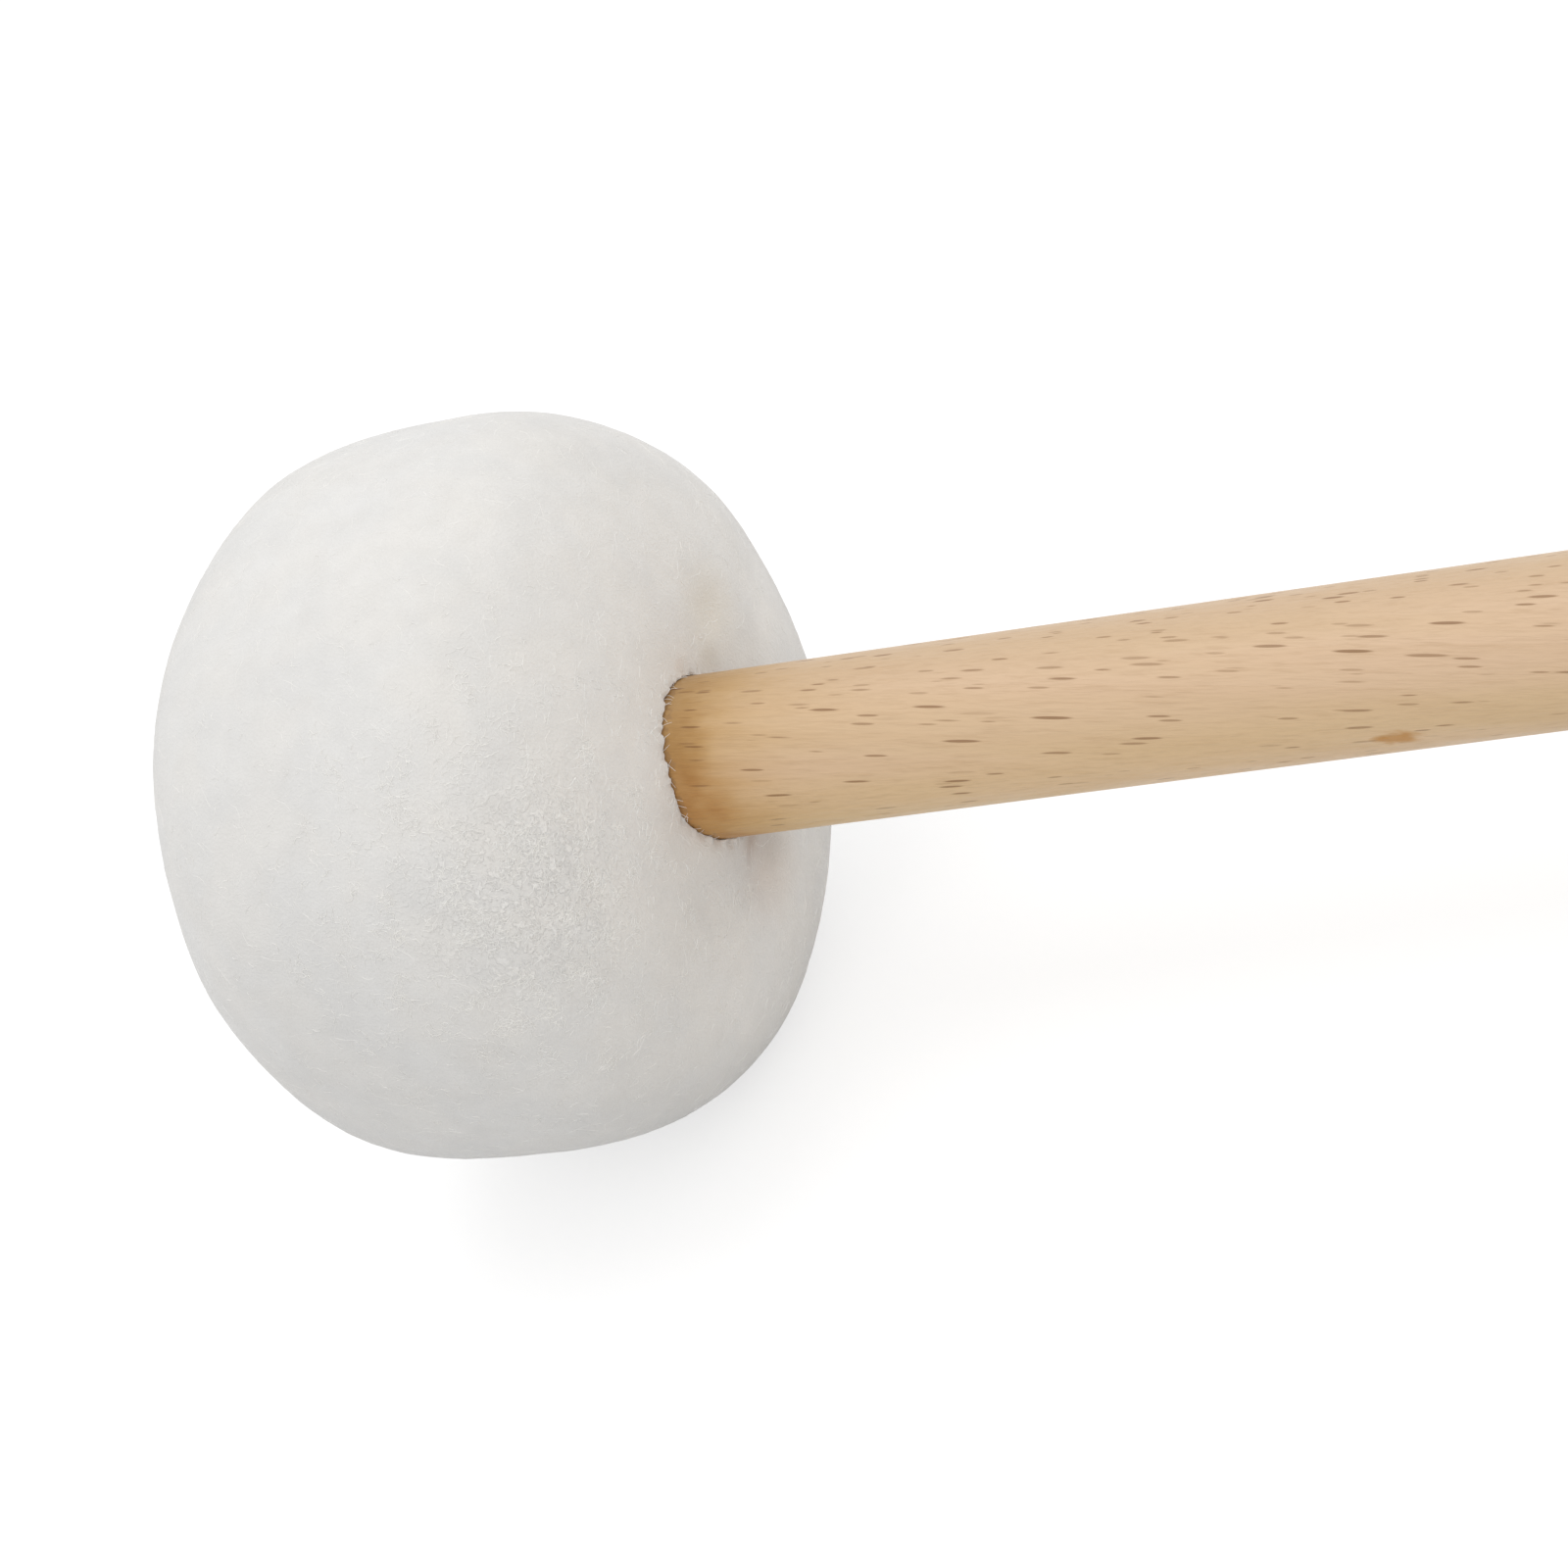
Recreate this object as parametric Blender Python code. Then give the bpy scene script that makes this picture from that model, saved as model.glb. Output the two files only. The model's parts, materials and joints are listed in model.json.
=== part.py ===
"""Soft marimba mallet: a beech stick in a layered, felt-covered head.

The mallet lies as it rests on a table, on the side of its head and on its butt. World X runs along it from
the head to the butt, Z is up, and the origin is on the table under the middle of its length. Every piece is
modelled on the stick's own axis: local X runs from the middle of the head towards the butt, and the empty
that carries the pieces sets the slight slope at which the mallet rests.
"""
import math

import bmesh
import bpy
from mathutils import Vector

MM = 0.001
MERGE_DISTANCE = 0.001 * MM

# The stick
LENGTH_OVERALL = 400.0 * MM
STICK_RADIUS = 4.0 * MM
STICK_HEAD_CHAMFER = 0.8 * MM
BUTT_ROUNDING = 1.2 * MM
STICK_SIDES = 64
CORE_SIDES = 48

# The head: a barrel whose outline is a superellipse, longer on its crown side than on its neck side
HEAD_RADIUS = 18.2 * MM
CROWN_REACH = 13.75 * MM
NECK_REACH = 11.75 * MM
BARREL_POWER = 3.05
REST_FLAT_DEPTH = 0.5 * MM

# The layers of the head, from the outside in, with the gap that neighbours keep
GAP = 0.3 * MM
COVER_THICKNESS = 2.0 * MM
BATTING_THICKNESS = 2.0 * MM
LAYER_SIDES = 40
OUTER_STEPS = 13
INNER_STEPS = 9

# The core and the pads on its two ends
CORE_RADIUS = 8.6 * MM
CORE_CROWN_END = -7.2 * MM
CORE_NECK_END = 5.1 * MM
CORE_EDGE_ROUNDING = 1.2 * MM
STICK_DEPTH_IN_CORE = 9.6 * MM
PAD_RADIUS = 9.4 * MM
NECK_PAD_BORE = 6.8 * MM

# The felt strip round the core
STRIP_THICKNESS = 1.3 * MM
STRIP_SKIVED_THICKNESS = 0.4 * MM
STRIP_TURNS = 2.0
STRIP_STEPS_PER_TURN = 36
STRIP_SKIVED_STEPS = 4

# The gathered neck: the cover turns in round the stick, and a thread is wound round its turned-in edge
NECK_ROLL = 0.9 * MM
HEM_THICKNESS = 1.1 * MM
HEM_END = 5.6 * MM
HEM_TIP = 0.1 * MM
HEM_FILLET = 0.6 * MM
BATTING_MOUTH = 7.2 * MM
THREAD_RADIUS = 0.25 * MM
THREAD_TURNS = 3
THREAD_PITCH = 1.0 * MM
THREAD_POINTS_PER_TURN = 24
THREAD_START = 5.9 * MM

# Two soft hollows where the gathered cover draws in beside the stick, as degrees round the stick from the
# top towards +Y, distance from its axis, depth and spread
NECK_HOLLOWS = (
    (63.0, 7.4 * MM, 0.45 * MM, 1.9 * MM),
    (188.0, 6.8 * MM, 0.65 * MM, 1.9 * MM),
)

# The slight rises and flats of a hand-made head, as degrees round the stick from the top towards +Y,
# distance along it from the middle of the head, rise and spread
HEAD_LUMPS = (
    (103.0, 9.0 * MM, -0.18 * MM, 5.5 * MM),
    (57.0, 6.0 * MM, -0.20 * MM, 4.5 * MM),
    (38.0, -3.8 * MM, -0.10 * MM, 3.5 * MM),
    (5.0, -9.3 * MM, -0.20 * MM, 5.0 * MM),
    (281.0, -10.6 * MM, 0.12 * MM, 4.0 * MM),
    (242.0, -7.0 * MM, 0.22 * MM, 4.0 * MM),
    (193.0, 7.8 * MM, 0.20 * MM, 4.5 * MM),
)

# How the mallet rests: the slope brings the butt's rounded edge down to the table
HEAD_REST_HEIGHT = HEAD_RADIUS - REST_FLAT_DEPTH
BUTT_DISTANCE = LENGTH_OVERALL - CROWN_REACH


def resting_slope():
    """The angle at which the stick falls from the head to the butt."""
    along = BUTT_DISTANCE - BUTT_ROUNDING
    across = STICK_RADIUS - BUTT_ROUNDING
    drop = HEAD_REST_HEIGHT - BUTT_ROUNDING
    return math.asin(drop / math.hypot(along, across)) - math.atan2(across, along)


def material(name, colour, roughness):
    """A plain finish for one kind of piece."""
    finish = bpy.data.materials.new(name)
    finish.use_nodes = True
    shader = finish.node_tree.nodes["Principled BSDF"]
    shader.inputs["Base Color"].default_value = (*colour, 1.0)
    shader.inputs["Roughness"].default_value = roughness
    shader.inputs["Metallic"].default_value = 0.0
    return finish


def add_piece(name, data, finish, carrier):
    """Put one piece's mesh or curve on the mallet's axis."""
    piece = bpy.data.objects.new(name, data)
    bpy.context.scene.collection.objects.link(piece)
    data.materials.append(finish)
    piece.parent = carrier
    return piece


def mesh_from(bm, name, crease_degrees):
    """Turn finished bmesh geometry into a mesh that is smooth up to the given angle."""
    bmesh.ops.recalc_face_normals(bm, faces=bm.faces)
    mesh = bpy.data.meshes.new(name)
    bm.to_mesh(mesh)
    bm.free()
    mesh.shade_smooth()
    mesh.set_sharp_from_angle(angle=math.radians(crease_degrees))
    return mesh


def turned(profile, sides):
    """Spin a profile of (along, radius) points about the X axis."""
    bm = bmesh.new()
    points = [bm.verts.new((along, 0.0, radius)) for along, radius in profile]
    edges = [bm.edges.new(pair) for pair in zip(points, points[1:])]
    bmesh.ops.spin(
        bm,
        geom=points + edges,
        cent=(0.0, 0.0, 0.0),
        axis=(1.0, 0.0, 0.0),
        angle=math.tau,
        steps=sides,
        use_merge=True,
    )
    bmesh.ops.remove_doubles(bm, verts=bm.verts, dist=MERGE_DISTANCE)
    return bm


def arc(centre, radius, start_degrees, end_degrees, steps):
    """Points of a round stretch of a profile; 0 degrees points along +X and 90 degrees away from the axis."""
    points = []
    for step in range(steps + 1):
        turn = math.radians(start_degrees + (end_degrees - start_degrees) * step / steps)
        points.append((centre[0] + radius * math.cos(turn), centre[1] + radius * math.sin(turn)))
    return points


def barrel_reach(radius, inset, side):
    """How far the head's outline, drawn in by an inset, reaches along the axis at a radius."""
    reach = (NECK_REACH if side > 0 else CROWN_REACH) - inset
    share = min(radius / (HEAD_RADIUS - inset), 1.0)
    return side * reach * (1.0 - share**BARREL_POWER) ** (1.0 / BARREL_POWER)


def barrel_outline(inset, steps, neck_radius):
    """The head's outline from the crown's pole to a radius at the neck, drawn in by an inset."""
    power = 2.0 / BARREL_POWER
    radius = HEAD_RADIUS - inset
    last = math.acos((neck_radius / radius) ** (1.0 / power))
    points = []
    for step in range(steps + 1):
        turn = -math.pi / 2 + (last + math.pi / 2) * step / steps
        side = 1.0 if turn > 0.0 else -1.0
        reach = (NECK_REACH if turn > 0.0 else CROWN_REACH) - inset
        points.append((side * reach * abs(math.sin(turn)) ** power, radius * abs(math.cos(turn)) ** power))
    points[0] = (points[0][0], 0.0)
    return points


def bump(distance, spread):
    """A soft rise that is 1 in its middle and fades to nothing."""
    return math.exp(-((distance / spread) ** 2))


def around(degrees, along, radius):
    """The point at an angle round the axis, measured from the top towards +Y."""
    turn = math.radians(degrees)
    return Vector((along, radius * math.sin(turn), radius * math.cos(turn)))


def shape_head(bm):
    """Give the turned cover its hand-made rises, flats and the two hollows beside the stick."""
    lump_places = []
    for degrees, along, rise, spread in HEAD_LUMPS:
        reach = NECK_REACH if along > 0.0 else CROWN_REACH
        radius = HEAD_RADIUS * (1.0 - (abs(along) / reach) ** BARREL_POWER) ** (1.0 / BARREL_POWER)
        lump_places.append((around(degrees, along, radius), rise, spread))
    hollow_places = []
    for degrees, radius, depth, spread in NECK_HOLLOWS:
        hollow_places.append((around(degrees, barrel_reach(radius, 0.0, 1), radius), -depth, spread))
    bmesh.ops.recalc_face_normals(bm, faces=bm.faces)
    moves = []
    for vert in bm.verts:
        radius = math.hypot(vert.co.y, vert.co.z)
        side = 1 if vert.co.x > 0.0 else -1
        on_outer_skin = abs(vert.co.x) > abs(barrel_reach(radius, 0.5 * COVER_THICKNESS, side))
        if not on_outer_skin or radius < STICK_RADIUS + GAP + 0.5 * NECK_ROLL and side > 0:
            continue
        rise = 0.0
        for place, height, spread in lump_places + hollow_places:
            rise += height * bump((vert.co - place).length, spread)
        moves.append((vert, rise * vert.normal))
    for vert, move in moves:
        vert.co += move


def build_shaft(finish, carrier):
    """The stick: chamfered at its head end, with a flat butt whose edge is rounded over."""
    head_end = CORE_NECK_END - STICK_DEPTH_IN_CORE
    profile = [
        (head_end, 0.0),
        (head_end, STICK_RADIUS - STICK_HEAD_CHAMFER),
        (head_end + STICK_HEAD_CHAMFER, STICK_RADIUS),
    ]
    rounding_centre = (BUTT_DISTANCE - BUTT_ROUNDING, STICK_RADIUS - BUTT_ROUNDING)
    profile += arc(rounding_centre, BUTT_ROUNDING, 90.0, 0.0, 5)
    profile.append((BUTT_DISTANCE, 0.0))
    add_piece("shaft", mesh_from(turned(profile, STICK_SIDES), "shaft", 30.0), finish, carrier)


def build_core(finish, carrier):
    """The rubber barrel, with rounded ends and a blind bore for the stick."""
    bore_radius = STICK_RADIUS + GAP
    bore_end = CORE_NECK_END - STICK_DEPTH_IN_CORE - GAP
    edge = CORE_RADIUS - CORE_EDGE_ROUNDING
    profile = [(CORE_CROWN_END, 0.0)]
    profile += arc((CORE_CROWN_END + CORE_EDGE_ROUNDING, edge), CORE_EDGE_ROUNDING, 180.0, 90.0, 5)
    profile += arc((CORE_NECK_END - CORE_EDGE_ROUNDING, edge), CORE_EDGE_ROUNDING, 90.0, 0.0, 5)
    profile += [(CORE_NECK_END, bore_radius), (bore_end, bore_radius), (bore_end, 0.0)]
    add_piece("core", mesh_from(turned(profile, CORE_SIDES), "core", 30.0), finish, carrier)


def build_felt_wrap(finish, carrier):
    """The felt strip, wound in a spiral, cut narrower towards its outer end and skived thin at both ends."""
    bm = bmesh.new()
    inset = COVER_THICKNESS + BATTING_THICKNESS + 2.0 * GAP
    steps = round(STRIP_TURNS * STRIP_STEPS_PER_TURN)
    corner = 0.25 * STRIP_SKIVED_THICKNESS
    sections = []
    for step in range(steps + 1):
        turns = step / STRIP_STEPS_PER_TURN
        skived = min(1.0, min(step, steps - step) / STRIP_SKIVED_STEPS)
        thickness = STRIP_SKIVED_THICKNESS + (STRIP_THICKNESS - STRIP_SKIVED_THICKNESS) * skived
        inner = CORE_RADIUS + GAP + turns * (STRIP_THICKNESS + GAP)
        outer = inner + thickness
        low = max(barrel_reach(outer, inset, -1), CORE_CROWN_END + CORE_EDGE_ROUNDING)
        high = min(barrel_reach(outer, inset, 1), CORE_NECK_END - CORE_EDGE_ROUNDING)
        outline = (
            (low + corner, inner),
            (high - corner, inner),
            (high, inner + corner),
            (high, outer - corner),
            (high - corner, outer),
            (low + corner, outer),
            (low, outer - corner),
            (low, inner + corner),
        )
        sections.append([bm.verts.new(around(360.0 * turns, along, radius)) for along, radius in outline])
    for one, other in zip(sections, sections[1:]):
        for index in range(len(one)):
            following = (index + 1) % len(one)
            bm.faces.new((one[index], one[following], other[following], other[index]))
    bm.faces.new(sections[0])
    bm.faces.new(sections[-1])
    add_piece("felt_wrap", mesh_from(bm, "felt_wrap", 40.0), finish, carrier)


def build_crown_pad(finish, carrier):
    """The felt disc over the core's blind end, domed to fit under the batting."""
    inset = COVER_THICKNESS + BATTING_THICKNESS + 2.0 * GAP
    profile = [(barrel_reach(0.0, inset, -1), 0.0)]
    for share in (0.3, 0.55, 0.75, 0.9, 1.0):
        radius = share * PAD_RADIUS
        profile.append((barrel_reach(radius, inset, -1), radius))
    profile += [(CORE_CROWN_END - GAP, PAD_RADIUS), (CORE_CROWN_END - GAP, 0.0)]
    add_piece("crown_pad", mesh_from(turned(profile, LAYER_SIDES), "crown_pad", 30.0), finish, carrier)


def build_neck_pad(finish, carrier):
    """The felt ring on the core's open end, which leaves room for the bound edge of the cover."""
    inset = COVER_THICKNESS + BATTING_THICKNESS + 2.0 * GAP
    seat = CORE_NECK_END + GAP
    profile = [(seat, NECK_PAD_BORE)]
    for step in range(4):
        radius = NECK_PAD_BORE + (PAD_RADIUS - NECK_PAD_BORE) * step / 3
        profile.append((barrel_reach(radius, inset, 1), radius))
    profile += [(seat, PAD_RADIUS), (seat, NECK_PAD_BORE)]
    add_piece("neck_pad", mesh_from(turned(profile, LAYER_SIDES), "neck_pad", 30.0), finish, carrier)


def build_batting(finish, carrier):
    """The wadding: a thick soft shell, open at the neck for the stick and the bound edge of the cover."""
    outer_inset = COVER_THICKNESS + GAP
    outer = barrel_outline(outer_inset, INNER_STEPS, BATTING_MOUTH)
    inner = barrel_outline(outer_inset + BATTING_THICKNESS, INNER_STEPS, BATTING_MOUTH)
    mouth_middle = (0.5 * (outer[-1][0] + inner[-1][0]), BATTING_MOUTH - 0.2 * BATTING_THICKNESS)
    profile = outer + [mouth_middle] + inner[::-1]
    add_piece("batting", mesh_from(turned(profile, LAYER_SIDES), "batting", 60.0), finish, carrier)


def build_neck_thread(finish, carrier):
    """The thread round the turned-in edge of the cover, one unbroken helix with short straight ends."""
    radius = STICK_RADIUS + GAP + HEM_THICKNESS + GAP + THREAD_RADIUS
    points = []
    for step in range(THREAD_TURNS * THREAD_POINTS_PER_TURN + 1):
        turns = step / THREAD_POINTS_PER_TURN
        points.append(around(360.0 * turns, THREAD_START + THREAD_PITCH * turns, radius))
    straight = 2.0 * THREAD_RADIUS
    points.insert(0, points[0] + straight * (points[0] - points[1]).normalized())
    points.append(points[-1] + straight * (points[-1] - points[-2]).normalized())
    thread = bpy.data.curves.new("neck_thread", "CURVE")
    thread.dimensions = "3D"
    thread.bevel_depth = THREAD_RADIUS
    thread.bevel_resolution = 1
    thread.use_fill_caps = True
    spline = thread.splines.new("POLY")
    spline.points.add(len(points) - 1)
    for spline_point, place in zip(spline.points, points):
        spline_point.co = (*place, 1.0)
    add_piece("neck_thread", thread, finish, carrier)
    print_least_gap("neck_thread", points)


def print_least_gap(name, points):
    """Measure the wound thread's least gap to itself, from point to point, half a turn or more apart."""
    half_turn = THREAD_POINTS_PER_TURN // 2
    least = min(
        (points[one] - points[other]).length
        for one in range(len(points))
        for other in range(one + half_turn, len(points))
    )
    print(f"{name}: least gap to itself {(least - 2.0 * THREAD_RADIUS) / MM:.2f} mm")


def build_cover(finish, carrier, table_cutter):
    """The felt sleeve: closed over the crown, rolled in at the neck and turned back on itself inside."""
    hem_inner = STICK_RADIUS + GAP
    hem_outer = hem_inner + HEM_THICKNESS
    hem_middle = 0.5 * (hem_inner + hem_outer)
    roll_top = barrel_reach(hem_inner + NECK_ROLL, 0.0, 1)
    inner_top = barrel_reach(hem_outer + HEM_FILLET, COVER_THICKNESS, 1)
    profile = barrel_outline(0.0, OUTER_STEPS, hem_inner + NECK_ROLL)[:-1]
    profile += arc((roll_top - NECK_ROLL, hem_inner + NECK_ROLL), NECK_ROLL, 0.0, -90.0, 3)
    profile += [(HEM_END, hem_inner + 0.25 * HEM_THICKNESS), (HEM_END - HEM_TIP, hem_middle)]
    profile += [(HEM_END, hem_outer - 0.25 * HEM_THICKNESS)]
    profile += arc((inner_top - HEM_FILLET, hem_outer + HEM_FILLET), HEM_FILLET, -90.0, 0.0, 2)
    profile += barrel_outline(COVER_THICKNESS, INNER_STEPS, BATTING_MOUTH)[::-1]
    bm = turned(profile, LAYER_SIDES)
    shape_head(bm)
    cover = add_piece("cover", mesh_from(bm, "cover", 60.0), finish, carrier)
    flat = cover.modifiers.new("rest_flat", "BOOLEAN")
    flat.operation = "DIFFERENCE"
    flat.solver = "EXACT"
    flat.object = table_cutter


def build_table_cutter(head_place):
    """The block below the table's plane, which cuts the head flat where it rests."""
    side = 2.4 * HEAD_RADIUS
    bm = bmesh.new()
    bmesh.ops.create_cube(bm, size=side)
    cutter = bpy.data.objects.new("table_cutter", mesh_from(bm, "table_cutter", 30.0))
    bpy.context.scene.collection.objects.link(cutter)
    cutter.location = (head_place.x, 0.0, -0.5 * side)
    cutter.hide_render = True
    cutter.display_type = "WIRE"
    return cutter


def build():
    """Make the whole mallet."""
    for old in list(bpy.data.objects):
        bpy.data.objects.remove(old)

    slope = resting_slope()
    head_place = Vector((CROWN_REACH - 0.5 * LENGTH_OVERALL * math.cos(slope), 0.0, HEAD_REST_HEIGHT))
    carrier = bpy.data.objects.new("mallet_axis", None)
    bpy.context.scene.collection.objects.link(carrier)
    carrier.location = head_place
    carrier.rotation_euler = (0.0, slope, 0.0)

    beech = material("beech", (0.66, 0.47, 0.30), 0.48)
    white_felt = material("white_felt", (0.80, 0.79, 0.76), 0.95)
    grey_felt = material("grey_felt", (0.52, 0.50, 0.46), 0.95)
    wadding = material("wadding", (0.86, 0.86, 0.84), 1.0)
    rubber = material("rubber", (0.07, 0.07, 0.075), 0.7)
    waxed_thread = material("waxed_thread", (0.74, 0.68, 0.55), 0.5)

    build_shaft(beech, carrier)
    build_core(rubber, carrier)
    build_felt_wrap(grey_felt, carrier)
    build_crown_pad(grey_felt, carrier)
    build_neck_pad(grey_felt, carrier)
    build_batting(wadding, carrier)
    build_neck_thread(waxed_thread, carrier)
    build_cover(white_felt, carrier, build_table_cutter(head_place))


build()
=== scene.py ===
"""Looks of the soft marimba mallet: its felt, its wood and what lies inside its head.

Lengths are in metres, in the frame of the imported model, and in millimetres inside the shader trees. Each
new piece is modelled on the mallet's own axis: X runs along the stick from the middle of the head towards
the butt, and MALLET_AXIS sets the piece in its place. Degrees round the stick run from the top towards +Y.
"""

import json
import math
import random

import bmesh
import bpy
from mathutils import Matrix, Vector, noise
from mathutils.bvhtree import BVHTree
from mathutils.kdtree import KDTree


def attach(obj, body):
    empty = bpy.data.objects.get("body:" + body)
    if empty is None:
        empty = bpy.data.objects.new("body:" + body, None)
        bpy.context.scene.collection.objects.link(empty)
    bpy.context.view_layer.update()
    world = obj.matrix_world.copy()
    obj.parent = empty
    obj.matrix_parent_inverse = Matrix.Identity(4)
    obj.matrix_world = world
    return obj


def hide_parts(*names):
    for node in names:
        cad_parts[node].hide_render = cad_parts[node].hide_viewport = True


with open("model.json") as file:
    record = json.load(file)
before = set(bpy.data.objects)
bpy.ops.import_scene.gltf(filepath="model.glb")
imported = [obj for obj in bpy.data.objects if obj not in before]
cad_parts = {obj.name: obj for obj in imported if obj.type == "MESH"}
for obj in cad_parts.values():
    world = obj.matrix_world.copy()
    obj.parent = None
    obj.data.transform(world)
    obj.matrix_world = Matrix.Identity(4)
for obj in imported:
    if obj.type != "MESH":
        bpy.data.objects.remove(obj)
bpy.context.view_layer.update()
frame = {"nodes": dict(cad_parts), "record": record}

MM = 0.001
SEED = 7

# The stick and the head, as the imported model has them
LENGTH_OVERALL = 400.0 * MM
STICK_RADIUS = 4.0 * MM
HEAD_RADIUS = 18.2 * MM
CROWN_REACH = 13.75 * MM
NECK_REACH = 11.75 * MM
BARREL_POWER = 3.05
BUTT_DISTANCE = LENGTH_OVERALL - CROWN_REACH

# Points of the head's outline before it is divided into even steps
OUTLINE_POINTS = 2000

# The layers of the head
GAP = 0.3 * MM
COVER_THICKNESS = 2.0 * MM
BATTING_THICKNESS = 2.0 * MM
FIRM_INSET = COVER_THICKNESS + BATTING_THICKNESS + 2.0 * GAP
CORE_RADIUS = 8.6 * MM
CORE_CROWN_END = -7.2 * MM
CORE_NECK_END = 5.1 * MM
CORE_EDGE_ROUNDING = 1.2 * MM
PAD_RADIUS = 9.4 * MM
NECK_PAD_BORE = 6.8 * MM
STRIP_THICKNESS = 1.3 * MM
STRIP_SKIVED_THICKNESS = 0.4 * MM
STRIP_TURNS = 2.0
HEM_THICKNESS = 1.1 * MM
HEM_BELOW_LIP = 1.5 * MM
HEM_END = 5.6 * MM
HEM_FILLET = 0.6 * MM
BATTING_MOUTH = 7.2 * MM
THREAD_RADIUS = 0.25 * MM
THREAD_TURNS = 3
THREAD_PITCH = 1.0 * MM
THREAD_START = 5.9 * MM

# The felt of the cover: its skin lies under the ends of its fibres, and its lip nearly touches the stick
NAP_HEIGHT = 0.07 * MM
FELT_STEP = 0.33 * MM
LIP_CLEARANCE = 0.015 * MM
LIP_ROUNDING = 0.15 * MM
LIP_TILT = 0.55 * MM
LIP_TILT_TOWARDS = 250.0
LIP_TILT_SPREAD = 2.2 * MM
LIP_DIP = 0.42 * MM
LIP_DIP_MIDDLE = Vector((11.6, -4.0, 0.0)) * MM
LIP_DIP_SPREAD = 1.9 * MM
LIP_DIP_REACH = 1.75 * LIP_DIP_SPREAD
LIP_FRAY = 0.22 * MM
LIP_FRAY_WIDTH = 0.32 * MM
LIP_FRAY_SPREAD = 0.35 * MM

# Unevenness of the felt, from broad swells to small tufts: height, width, place in the noise. It stops
# where the felt is drawn in tightly round the stick
FELT_RELIEF = (
    (0.045 * MM, 5.0 * MM, Vector((0.0, 0.0, 0.0))),
    (0.022 * MM, 1.6 * MM, Vector((9.0, 2.0, 5.0))),
    (0.010 * MM, 0.7 * MM, Vector((3.0, 8.0, 1.0))),
)
DRAWN_TIGHT = 0.97

# The patch of the head that is worn rough, and the clumps of its wool
ROUGH_MIDDLE = Vector((9.2, -12.6, 5.4)) * MM
ROUGH_SPREAD = 8.0 * MM
ROUGH_REACH = 1.25 * ROUGH_SPREAD
CLUMP_WIDTH = 1.1 * MM
CLUMP_FILL = 0.35

# Wool fibres: how many, least and most length in millimetres, radius, least and most lift in millimetres,
# turn in radians a millimetre. No pressed one starts this close to the table
FIBRE_STEPS = 5
FIBRE_SIDES = 3
FIBRE_TAPER = 0.6
PRESSED_FIBRES = (3300, (0.5, 1.5), 0.011 * MM, (-0.004, 0.008), 1.2)
RAISED_FIBRES = (3700, (0.25, 0.7), 0.016 * MM, (0.004, 0.026), 3.5)
TABLE_MARGIN = 0.2 * MM

# Fibres that cross the lip on to the wood: how far below it they start, their least and most length, how
# far they sweep round the stick in degrees, and how high they lie and arch. Where no MM stands, lengths
# and heights are in millimetres
LIP_FIBRES = 70
LIP_FIBRE_ROOT = 0.3 * MM
LIP_FIBRE_LENGTHS = (0.2, 0.6)
LIP_FIBRE_SWEEP = 7.0
LIP_FIBRE_RADIUS = 0.015 * MM
LIP_FIBRE_TAPER = 0.48
LIP_FIBRE_HEIGHT = 0.03
LIP_FIBRE_ARCH = 0.05

# The cloth simulation of the cover: a coarse skin, enlarged to a cushion's size, for which cloth is made.
# Its contact is a distance at that size
SETTLE_STEP = 1.3 * MM
SETTLE_SIDES = 72
SETTLE_SCALE = 15.0
SETTLE_FRAMES = 20
SETTLE_ROOM = 0.03 * MM
SETTLE_CAP = 0.30 * MM
SETTLE_CONTACT = 0.001
SETTLE_NEIGHBOURS = 16
SETTLE_BLEND = 1.5 * SETTLE_STEP
WADDING_HOLD = 0.3

# Finish of the pieces inside the head; lumps are a depth and a size
LAYER_STEP = 0.7 * MM
BATTING_SIDES = 150
BATTING_MOUTH_STEPS = 6
BATTING_MOUTH_BULGE = 0.2 * BATTING_THICKNESS
BATTING_LUMPS = (0.12 * MM, 1.1 * MM)
FIRM_LUMPS = (0.06 * MM, 0.8 * MM)
PAD_SIDES = 120
CROWN_PAD_STEPS = 16
NECK_PAD_STEPS = 6
STRIP_STEPS_PER_TURN = 120
STRIP_SKIVED_TURNS = 0.11
STRIP_CORNER = 0.25 * STRIP_SKIVED_THICKNESS
STRIP_PARTS = 12
THREAD_STEPS_PER_TURN = 230
THREAD_SIDES = 12
THREAD_STRAND_RELIEF = 0.03 * MM
THREAD_TWIST_LENGTH = 1.3 * MM

# Hollows beside the stick: degrees round it, distance from its axis, depth, spread
NECK_HOLLOWS = (
    (63.0, 7.4 * MM, 0.45 * MM, 1.9 * MM),
    (188.0, 6.8 * MM, 0.65 * MM, 1.9 * MM),
)

# Rises and flats of the head: degrees round the stick, distance along it, rise, spread
HEAD_LUMPS = (
    (103.0, 9.0 * MM, -0.18 * MM, 5.5 * MM),
    (57.0, 6.0 * MM, -0.20 * MM, 4.5 * MM),
    (38.0, -3.8 * MM, -0.10 * MM, 3.5 * MM),
    (5.0, -9.3 * MM, -0.20 * MM, 5.0 * MM),
    (281.0, -10.6 * MM, 0.12 * MM, 4.0 * MM),
    (242.0, -7.0 * MM, 0.22 * MM, 4.0 * MM),
    (193.0, 7.8 * MM, 0.20 * MM, 4.5 * MM),
)

# Painted light and shade on the felt: two places painted lighter and one painted darker: degrees round the
# stick, distance from its axis, reach, factor
FELT_PAINTED_LIGHT_AND_SHADE = (
    (212.0, 11.8 * MM, 9.5 * MM, 1.085),
    (98.0, 11.0 * MM, 5.0 * MM, 1.08),
    (38.0, 16.8 * MM, 8.0 * MM, 0.955),
)
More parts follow.
